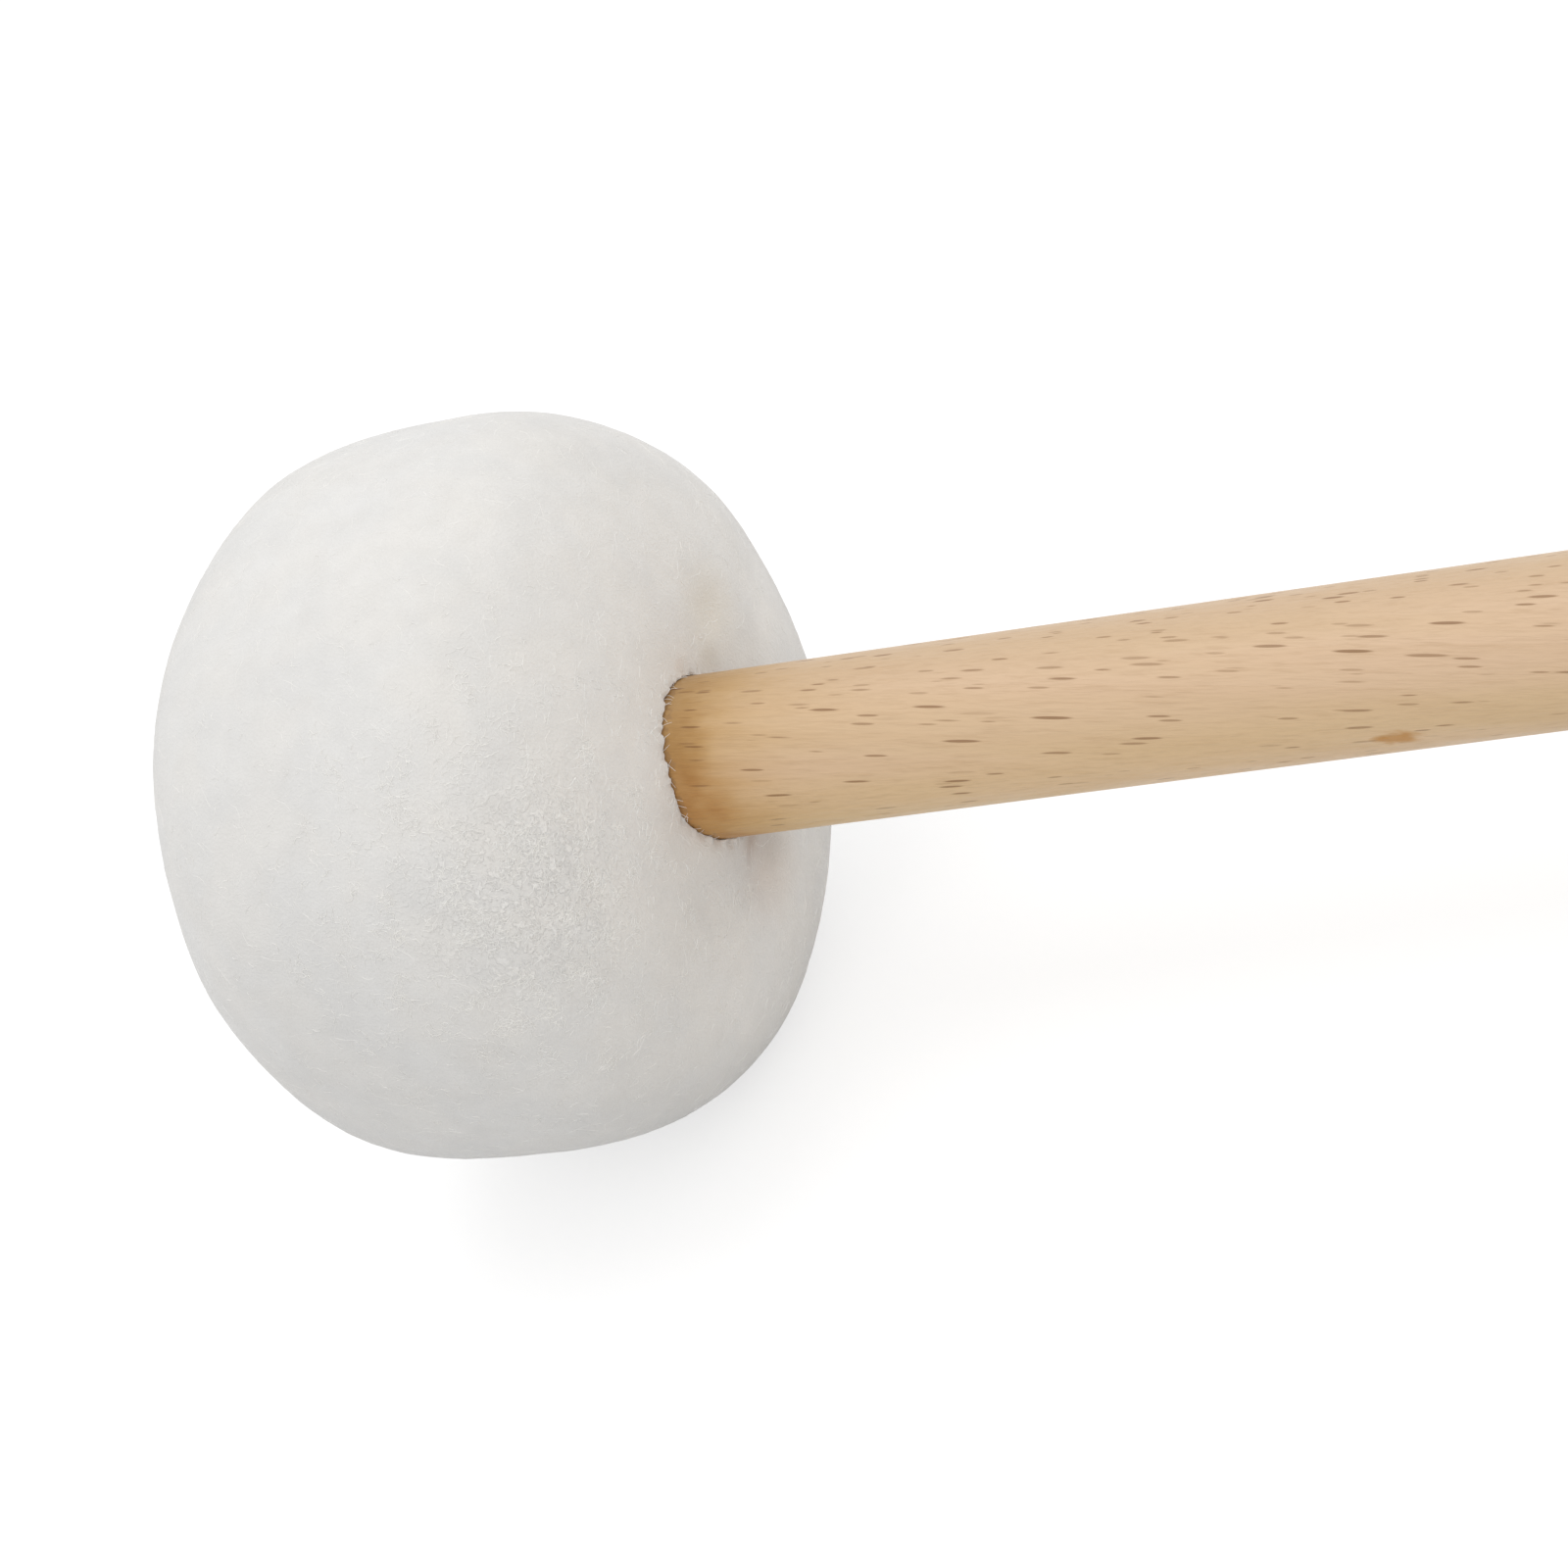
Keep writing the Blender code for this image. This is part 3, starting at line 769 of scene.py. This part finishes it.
def add_piece(name, mesh, material, replaced=()):
    """Set a mesh that was made on the mallet's axis in its place, and let it ride on the mallet."""
    mesh.transform(MALLET_AXIS)
    mesh.materials.append(material)
    piece = bpy.data.objects.new(name, mesh)
    bpy.context.scene.collection.objects.link(piece)
    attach(piece, "root")
    if replaced:
        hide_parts(*replaced)
    return piece


def add_square(name, half):
    """A flat square at the height of the table, this far from its middle to each side."""
    mesh = bpy.data.meshes.new(name)
    corners = [(-half, -half, 0), (half, -half, 0), (half, half, 0), (-half, half, 0)]
    mesh.from_pydata(corners, [], [(0, 1, 2, 3)])
    square = bpy.data.objects.new(name, mesh)
    bpy.context.scene.collection.objects.link(square)
    return square


# The cover

def felt_relief(place):
    """The felt's own unevenness at a place."""
    return sum(height * noise.noise(place / width + offset) for height, width, offset in FELT_RELIEF)


def head_shape():
    """The rises, flats and hollows of the head: (place, rise, spread) of each."""
    shapes = []
    for degrees, along, rise, spread in HEAD_LUMPS:
        reach = NECK_REACH if along > 0.0 else CROWN_REACH
        radius = HEAD_RADIUS * (1.0 - (abs(along) / reach) ** BARREL_POWER) ** (1.0 / BARREL_POWER)
        shapes.append((around(degrees, along, radius), rise, spread))
    for degrees, radius, depth, spread in NECK_HOLLOWS:
        shapes.append((around(degrees, barrel_reach(radius, 0.0, 1), radius), -depth, spread))
    return shapes


def above_table(place):
    """A place on the mallet's axis, lifted on to the table where it would lie under it."""
    in_world = MALLET_AXIS @ place
    in_world.z = max(in_world.z, 0.0)
    return TO_AXIS @ in_world


def shape_moves(mesh, count):
    """How far the head's rises, flats and hollows, and the table, move the first points of a mesh."""
    shapes = head_shape()
    moves = []
    for vert, normal in zip(mesh.vertices[:count], normals_of(mesh)):
        rise = sum(height * bump((vert.co - middle).length, spread) for middle, height, spread in shapes)
        if vert.co.x > 0.0 and math.hypot(vert.co.y, vert.co.z) < STICK_RADIUS + GAP:
            rise = 0.0
        moves.append(above_table(vert.co + rise * normal) - vert.co)
    return moves


def neck_share(place):
    """1 where the cover is drawn in round the stick, fading to 0 away from it."""
    return bump(math.hypot(place.y, place.z) - STICK_RADIUS, LIP_TILT_SPREAD) if place.x > 0.0 else 0.0


def lip_shift(place):
    """How much higher up the stick the felt's lip stands on one side than on the other."""
    degrees = math.degrees(math.atan2(place.y, place.z))
    side = math.cos(math.radians(degrees - LIP_TILT_TOWARDS))
    off_stick = math.hypot(place.y, place.z) - STICK_RADIUS
    edge = bump(off_stick, LIP_FRAY_SPREAD) if place.x > 0.0 else 0.0
    dip = LIP_DIP * bump((place - LIP_DIP_MIDDLE).length, LIP_DIP_SPREAD)
    fray = LIP_FRAY * edge * noise.noise(place / LIP_FRAY_WIDTH)
    return LIP_TILT * side * neck_share(place) - dip + fray


def make_cloth(skin):
    """Make an object cloth that its wadding blows out and steadies."""
    cloth = skin.modifiers.new("cloth", "CLOTH")
    felt = cloth.settings
    felt.quality = 6
    felt.mass = 0.3
    felt.tension_stiffness = felt.compression_stiffness = 15.0
    felt.shear_stiffness = 7.0
    felt.bending_stiffness = 2.0
    felt.use_pressure = True
    felt.uniform_pressure_force = 10.0
    felt.effector_weights.gravity = 0.0
    felt.vertex_group_mass = "held"
    cloth.collision_settings.use_collision = True
    cloth.collision_settings.distance_min = SETTLE_CONTACT
    cloth.point_cache.frame_start, cloth.point_cache.frame_end = 1, SETTLE_FRAMES


def settle():
    """Let the cover settle as cloth: the wadding blows it out and steadies it, the thread holds its neck.

    The points of a coarse skin are returned, and how far each of them moved.
    """
    outline = barrel_outline(NAP_HEIGHT, STICK_RADIUS + LIP_ROUNDING, SETTLE_STEP)
    mesh = mesh_from("settling", *turned(outline, SETTLE_SIDES))
    starts = [vert.co.copy() for vert in mesh.vertices]
    moves = shape_moves(mesh, len(starts))
    for vert, move, normal in zip(mesh.vertices, moves, normals_of(mesh)):
        room = SETTLE_ROOM * (1.0 - neck_share(vert.co))
        vert.co = vert.co + move - room * normal
    enlarged = Matrix.Scale(SETTLE_SCALE, 4) @ MALLET_AXIS
    mesh.transform(enlarged)

    scene = bpy.context.scene
    skin = bpy.data.objects.new("settling", mesh)
    scene.collection.objects.link(skin)
    table = add_square("settling_table", 2.0 * SETTLE_SCALE)
    table.modifiers.new("collision", "COLLISION")
    table.collision.thickness_outer = SETTLE_CONTACT
    held = skin.vertex_groups.new(name="held")
    for index, start in enumerate(starts):
        held.add([index], WADDING_HOLD + (1.0 - WADDING_HOLD) * neck_share(start), "REPLACE")
    make_cloth(skin)
    for number in range(1, SETTLE_FRAMES + 1):
        scene.frame_set(number)

    settled = skin.evaluated_get(bpy.context.evaluated_depsgraph_get()).data
    to_local = enlarged.inverted()
    drifts = []
    for vert, start, move in zip(settled.vertices, starts, moves):
        drift = to_local @ vert.co - start - move
        drifts.append(drift * min(1.0, SETTLE_CAP / max(drift.length, SETTLE_CAP)))
    for made in (skin, table):
        bpy.data.objects.remove(made)
    scene.frame_set(1)
    return starts, drifts


def drift_near(tree, drifts, place):
    """How far the settled skin moved round a place."""
    shares = []
    for _, index, distance in tree.find_n(place, SETTLE_NEIGHBOURS):
        shares.append((bump(distance, SETTLE_BLEND), index))
    total = sum(share for share, _ in shares)
    return sum((share * drifts[index] for share, index in shares), Vector()) / total


def cover_profile():
    """The cover's profile: (its skin from the crown to the lip, the rest from the hem back inside)."""
    lip_inner = STICK_RADIUS + LIP_CLEARANCE
    lip_top = barrel_reach(lip_inner + LIP_ROUNDING, NAP_HEIGHT, 1)
    skin = barrel_outline(NAP_HEIGHT, lip_inner + LIP_ROUNDING, FELT_STEP)[:-1]
    skin += arc((lip_top - LIP_ROUNDING, lip_inner + LIP_ROUNDING), LIP_ROUNDING, 0.0, -90.0, 5)

    hem_inner = STICK_RADIUS + GAP
    hem_outer = hem_inner + HEM_THICKNESS
    rounding = 0.5 * HEM_THICKNESS
    hem = evenly([(lip_top - HEM_BELOW_LIP, hem_inner), (HEM_END + rounding, hem_inner)], 2.0 * FELT_STEP)
    hem += arc((HEM_END + rounding, hem_inner + rounding), rounding, -90.0, -270.0, 6)[1:]
    inner_top = barrel_reach(hem_outer + HEM_FILLET, COVER_THICKNESS, 1)
    hem += arc((inner_top - HEM_FILLET, hem_outer + HEM_FILLET), HEM_FILLET, -90.0, 0.0, 4)
    inner = barrel_outline(COVER_THICKNESS, BATTING_MOUTH, 3.0 * FELT_STEP)[::-1]
    return skin, hem + inner


def build_cover(material):
    """The felt sleeve, closed over the crown, turned in round the stick: (mesh, points of its skin)."""
    skin, rest = cover_profile()
    sides = round(math.tau * HEAD_RADIUS / FELT_STEP)
    mesh = mesh_from("cover", *turned(skin + rest, sides))
    count = 1 + (len(skin) - 1) * sides

    coarse, drifts = settle()
    tree = KDTree(len(coarse))
    for index, place in enumerate(coarse):
        tree.insert(place, index)
    tree.balance()
    for vert, normal, move in zip(mesh.vertices[:count], normals_of(mesh), shape_moves(mesh, count)):
        place = vert.co + move + drift_near(tree, drifts, vert.co)
        if neck_share(vert.co) < DRAWN_TIGHT:
            place += felt_relief(vert.co) * normal
        place.x += lip_shift(vert.co)
        vert.co = above_table(place)
    felt = mesh.copy()
    add_piece("cover_felt", mesh, material, ["cover"])
    return felt, count


def tapered(radius, taper, power):
    """The radius of a fibre at each step of its path, for tube: a share of it is lost towards its end."""
    return lambda index, turn: radius * (1.0 - taper * (index / (FIBRE_STEPS - 1)) ** power)


def fibre_path(surface, start, heading, length, curl, lift, draw):
    """A curly path that follows a surface, lifted from it in its middle."""
    place, path = start.copy(), []
    step = length / (FIBRE_STEPS - 1)
    for index in range(FIBRE_STEPS):
        share = index / (FIBRE_STEPS - 1)
        found, normal, _, _ = surface.find_nearest(place)
        path.append(found + normal * lift * math.sin(math.pi * (0.1 + 0.9 * share)))
        heading = Matrix.Rotation(curl * step + draw.uniform(-0.5, 0.5), 3, normal) @ heading
        heading = (heading - heading.dot(normal) * normal).normalized()
        place = found + heading * step
    return path


def lip_fibre_path(number, draw):
    """The path of one of the fibres that cross the lip on to the wood."""
    degrees = 360.0 * (number + draw.random()) / LIP_FIBRES
    along = NECK_REACH - LIP_FIBRE_ROOT + lip_shift(around(degrees, NECK_REACH, STICK_RADIUS))
    length = draw.uniform(*LIP_FIBRE_LENGTHS) * MM
    sweep = draw.uniform(-LIP_FIBRE_SWEEP, LIP_FIBRE_SWEEP)
    path = []
    for index in range(FIBRE_STEPS):
        share = index / (FIBRE_STEPS - 1)
        height = STICK_RADIUS + (LIP_FIBRE_HEIGHT + LIP_FIBRE_ARCH * math.sin(math.pi * share)) * MM
        path.append(around(degrees + sweep * share**1.5, along + length * share, height))
    return path


def build_fibres(felt, skin, material):
    """Fine fibres pressed into the felt, and short curly ones that stand up where it is worn rough."""
    draw = random.Random(SEED)
    corners = [vert.co for vert in felt.vertices]
    surface = BVHTree.FromPolygons(corners, [face.vertices for face in felt.polygons])
    shown = [face for face in felt.polygons if max(face.vertices) < skin]
    pressed, raised = [], []
    for face in shown:
        middle = face.center
        off_table = (MALLET_AXIS @ middle).z > TABLE_MARGIN
        clump = max(0.0, CLUMP_FILL + noise.noise(middle / CLUMP_WIDTH)) ** 2
        pressed.append(face.area * off_table)
        raised.append(face.area * clump * bump((middle - ROUGH_MIDDLE).length, ROUGH_SPREAD))

    places, faces = [], []
    for weights, kind in ((pressed, PRESSED_FIBRES), (raised, RAISED_FIBRES)):
        count, lengths, radius, lifts, curliness = kind
        for face in draw.choices(shown, weights=weights, k=count):
            normal = face.normal
            turn = Matrix.Rotation(draw.uniform(0.0, math.tau), 3, normal)
            heading = turn @ normal.orthogonal().normalized()
            curl = draw.choice((-1.0, 1.0)) * draw.uniform(0.3, 1.0) * curliness / MM
            length, lift = draw.uniform(*lengths) * MM, draw.uniform(*lifts) * MM
            path = fibre_path(surface, face.center, heading, length, curl, lift, draw)
            tube(path, tapered(radius, FIBRE_TAPER, 2), FIBRE_SIDES, places, faces)
    for number in range(LIP_FIBRES):
        path = lip_fibre_path(number, draw)
        tube(path, tapered(LIP_FIBRE_RADIUS, LIP_FIBRE_TAPER, 1), FIBRE_SIDES, places, faces)
    mesh = mesh_from("cover_nap", places, faces)
    mesh.shade_flat()
    add_piece("cover_nap", mesh, material)


# The pieces inside the head

def build_batting(material):
    """The wadding: a thick, lumpy shell, open at the neck for the stick and the cover's bound edge."""
    inset = COVER_THICKNESS + GAP
    outer = barrel_outline(inset, BATTING_MOUTH, LAYER_STEP)
    inner = barrel_outline(inset + BATTING_THICKNESS, BATTING_MOUTH, LAYER_STEP)[::-1]
    middle, half = 0.5 * (outer[-1][0] + inner[0][0]), 0.5 * (outer[-1][0] - inner[0][0])
    mouth = []
    for step in range(1, BATTING_MOUTH_STEPS):
        turn = math.pi * step / BATTING_MOUTH_STEPS
        radius = BATTING_MOUTH - BATTING_MOUTH_BULGE * math.sin(turn)
        mouth.append((middle + half * math.cos(turn), radius))
    mesh = mesh_from("batting", *turned(outer + mouth + inner, BATTING_SIDES))
    piece = add_piece("batting_wool", roughened(mesh, *BATTING_LUMPS), material, ["batting"])


def strip_section(low, high, inner, outer):
    """The rounded cross-section of the strip, whose long sides are divided into parts."""
    corners = ((high, inner, -90.0), (high, outer, 0.0), (low, outer, 90.0), (low, inner, 180.0))
    arcs = []
    for along, radius, start in corners:
        centre_along = along - math.copysign(STRIP_CORNER, along - 0.5 * (low + high))
        centre_radius = radius - math.copysign(STRIP_CORNER, radius - 0.5 * (inner + outer))
        arcs.append(arc((centre_along, centre_radius), STRIP_CORNER, start, start + 90.0, 2))
    outline = []
    for one, other in zip(arcs, arcs[1:] + arcs[:1]):
        outline += one
        if abs(one[-1][0] - other[0][0]) > STRIP_CORNER:
            for part in range(1, STRIP_PARTS):
                outline.append(between(one[-1], other[0], part / STRIP_PARTS))
    return outline


def build_felt_wrap(material):
    """The felt strip, wound in a spiral, narrower towards its outer end and skived thin at both ends."""
    places, faces, rows = [], [], []
    steps = round(STRIP_TURNS * STRIP_STEPS_PER_TURN)
    for step in range(steps + 1):
        turns = step / STRIP_STEPS_PER_TURN
        skived = min(1.0, min(turns, STRIP_TURNS - turns) / STRIP_SKIVED_TURNS)
        thickness = STRIP_SKIVED_THICKNESS + (STRIP_THICKNESS - STRIP_SKIVED_THICKNESS) * skived
        inner = CORE_RADIUS + GAP + turns * (STRIP_THICKNESS + GAP)
        outer = inner + thickness
        low = max(barrel_reach(outer, FIRM_INSET, -1), CORE_CROWN_END + CORE_EDGE_ROUNDING)
        high = min(barrel_reach(outer, FIRM_INSET, 1), CORE_NECK_END - CORE_EDGE_ROUNDING)
        outline = strip_section(low, high, inner, outer)
        rows.append([len(places) + index for index in range(len(outline))])
        places += [around(360.0 * turns, along, radius) for along, radius in outline]
    for one, other in zip(rows, rows[1:]):
        for index in range(len(one)):
            following = (index + 1) % len(one)
            faces.append((one[index], one[following], other[following], other[index]))
    faces += [rows[0], rows[-1][::-1]]
    mesh = roughened(mesh_from("felt_wrap", places, faces), *FIRM_LUMPS)
    piece = add_piece("felt_wrap_wool", mesh, material, ["felt_wrap"])


def build_pads(material):
    """The domed felt disc over the core's blind end and the felt ring on its open end."""
    seat = CORE_CROWN_END - GAP
    radii = [PAD_RADIUS * step / CROWN_PAD_STEPS for step in range(CROWN_PAD_STEPS + 1)]
    profile = [(barrel_reach(radius, FIRM_INSET, -1), radius) for radius in radii]
    profile += [(seat, radius) for radius in radii[::-1]]
    mesh = roughened(mesh_from("crown_pad", *turned(profile, PAD_SIDES)), *FIRM_LUMPS)
    piece = add_piece("crown_pad_wool", mesh, material, ["crown_pad"])

    seat = CORE_NECK_END + GAP
    width = PAD_RADIUS - NECK_PAD_BORE
    radii = [NECK_PAD_BORE + width * step / NECK_PAD_STEPS for step in range(NECK_PAD_STEPS + 1)]
    profile = [(seat, radius) for radius in radii[::-1]]
    profile += [(barrel_reach(radius, FIRM_INSET, 1), radius) for radius in radii]
    mesh = roughened(mesh_from("neck_pad", *turned(profile, PAD_SIDES, closed=True)), *FIRM_LUMPS)
    piece = add_piece("neck_pad_wool", mesh, material, ["neck_pad"])


def build_neck_thread(material):
    """The thread round the turned-in edge of the cover: two strands twisted together, in one helix."""
    radius = STICK_RADIUS + GAP + HEM_THICKNESS + GAP + THREAD_RADIUS
    path = []
    for step in range(THREAD_TURNS * THREAD_STEPS_PER_TURN + 1):
        turns = step / THREAD_STEPS_PER_TURN
        path.append(around(360.0 * turns, THREAD_START + THREAD_PITCH * turns, radius))
    straight = 2.0 * THREAD_RADIUS
    path.insert(0, path[0] + straight * (path[0] - path[1]).normalized())
    path.append(path[-1] + straight * (path[-1] - path[-2]).normalized())
    twist = math.tau * math.tau * radius / THREAD_STEPS_PER_TURN / THREAD_TWIST_LENGTH

    def reach(index, turn):
        """The thread's radius, which rises over each of its two strands."""
        return THREAD_RADIUS + THREAD_STRAND_RELIEF * math.cos(2.0 * turn - twist * index)

    places, faces = [], []
    tube(path, reach, THREAD_SIDES, places, faces)
    mesh = mesh_from("neck_thread", places, faces)
    add_piece("neck_thread_plies", mesh, material, ["neck_thread"])


# The stage, the light and the camera

def build_floor():
    """A pale floor that the camera sees white except in the mallet's soft shadow."""
    floor = add_square("floor", FLOOR_HALF)
    made = bpy.data.materials.new("floor")
    made.use_nodes = True
    tree = made.node_tree
    tree.nodes.clear()
    lit = add_node(tree, "BsdfDiffuse", {"Color": (FLOOR_LIT, FLOOR_LIT, FLOOR_LIT, 1.0)})
    shown = add_node(tree, "BsdfDiffuse", {"Color": (FLOOR_SHOWN, FLOOR_SHOWN, FLOOR_SHOWN, 1.0)})
    glow = add_node(tree, "Emission", {"Strength": FLOOR_GLOW})
    backdrop = add_node(tree, "AddShader", {0: shown.outputs[0], 1: glow.outputs[0]})
    ray = add_node(tree, "LightPath").outputs
    seen = maths(tree, "MAXIMUM", ray["Is Camera Ray"], ray["Is Glossy Ray"])
    seen = maths(tree, "MAXIMUM", seen, ray["Is Transmission Ray"])
    finish = add_node(tree, "MixShader", {0: seen, 1: lit.outputs[0], 2: backdrop.outputs[0]})
    add_node(tree, "OutputMaterial", {"Surface": finish.outputs[0]})
    floor.data.materials.append(made)


def build_world():
    """An even white sky, as in a light tent."""
    world = bpy.data.worlds.new("studio")
    bpy.context.scene.world = world
    world.use_nodes = True
    background = world.node_tree.nodes["Background"]
    background.inputs["Color"].default_value = (1.0, 1.0, 1.0, 1.0)
    background.inputs["Strength"].default_value = SKY_STRENGTH


def build_lamp(name, towards, size, power):
    """A round soft light that shines on the head from a direction."""
    lamp = bpy.data.lights.new(name, "AREA")
    lamp.shape = "DISK"
    lamp.size = size
    lamp.energy = power
    made = bpy.data.objects.new(name, lamp)
    bpy.context.scene.collection.objects.link(made)
    direction = Vector(towards).normalized()
    made.location = HEAD_CENTRE + LAMP_DISTANCE * direction
    made.rotation_mode = "QUATERNION"
    made.rotation_quaternion = (-direction).to_track_quat("-Z", "Y")


def build_camera():
    """The photograph's camera, worked out from how the stick's edges draw together."""
    data = bpy.data.cameras.new("camera")
    data.sensor_width = SENSOR_WIDTH
    data.lens = FOCAL_PIXELS * SENSOR_WIDTH / IMAGE_SIDE
    data.clip_start = CAMERA_NEAR
    data.clip_end = CAMERA_FAR
    camera = bpy.data.objects.new("camera", data)
    bpy.context.scene.collection.objects.link(camera)
    azimuth, elevation = math.radians(CAMERA_AZIMUTH), math.radians(CAMERA_ELEVATION)
    back = Vector((math.sin(azimuth), -math.cos(azimuth), math.tan(elevation))).normalized()
    upright = (-back).to_track_quat("-Z", "Y").to_matrix()
    turn = upright @ Matrix.Rotation(math.radians(CAMERA_ROLL), 3, "Z")
    middle = 0.5 * IMAGE_SIDE
    across = (HEAD_PIXEL[0] - middle) / FOCAL_PIXELS
    upwards = (middle - HEAD_PIXEL[1]) / FOCAL_PIXELS
    eye = HEAD_CENTRE - turn @ (HEAD_DEPTH * Vector((across, upwards, -1.0)))
    camera.matrix_world = Matrix.Translation(eye) @ turn.to_4x4()
    bpy.context.scene.camera = camera


def build():
    """Dress the whole mallet."""
    build_camera()
    build_floor()
    build_world()
    for name, towards, size, power in LAMPS:
        build_lamp(name, towards, size, power)
    bpy.context.scene.view_settings.view_transform = "Standard"

    felt, skin = build_cover(felt_material("white_felt"))
    build_fibres(felt, skin, nap_material())
    build_batting(plain_wool_material("wadding", WADDING, 1.4))
    grey_felt = plain_wool_material("grey_felt", GREY_FELT, 2.2)
    build_felt_wrap(grey_felt)
    build_pads(grey_felt)
    build_neck_thread(thread_material())
    for name, material in (("shaft", beech_material()), ("core", rubber_material())):
        mesh = frame["nodes"][name].data
        mesh.materials.clear()
        mesh.materials.append(material)


build()
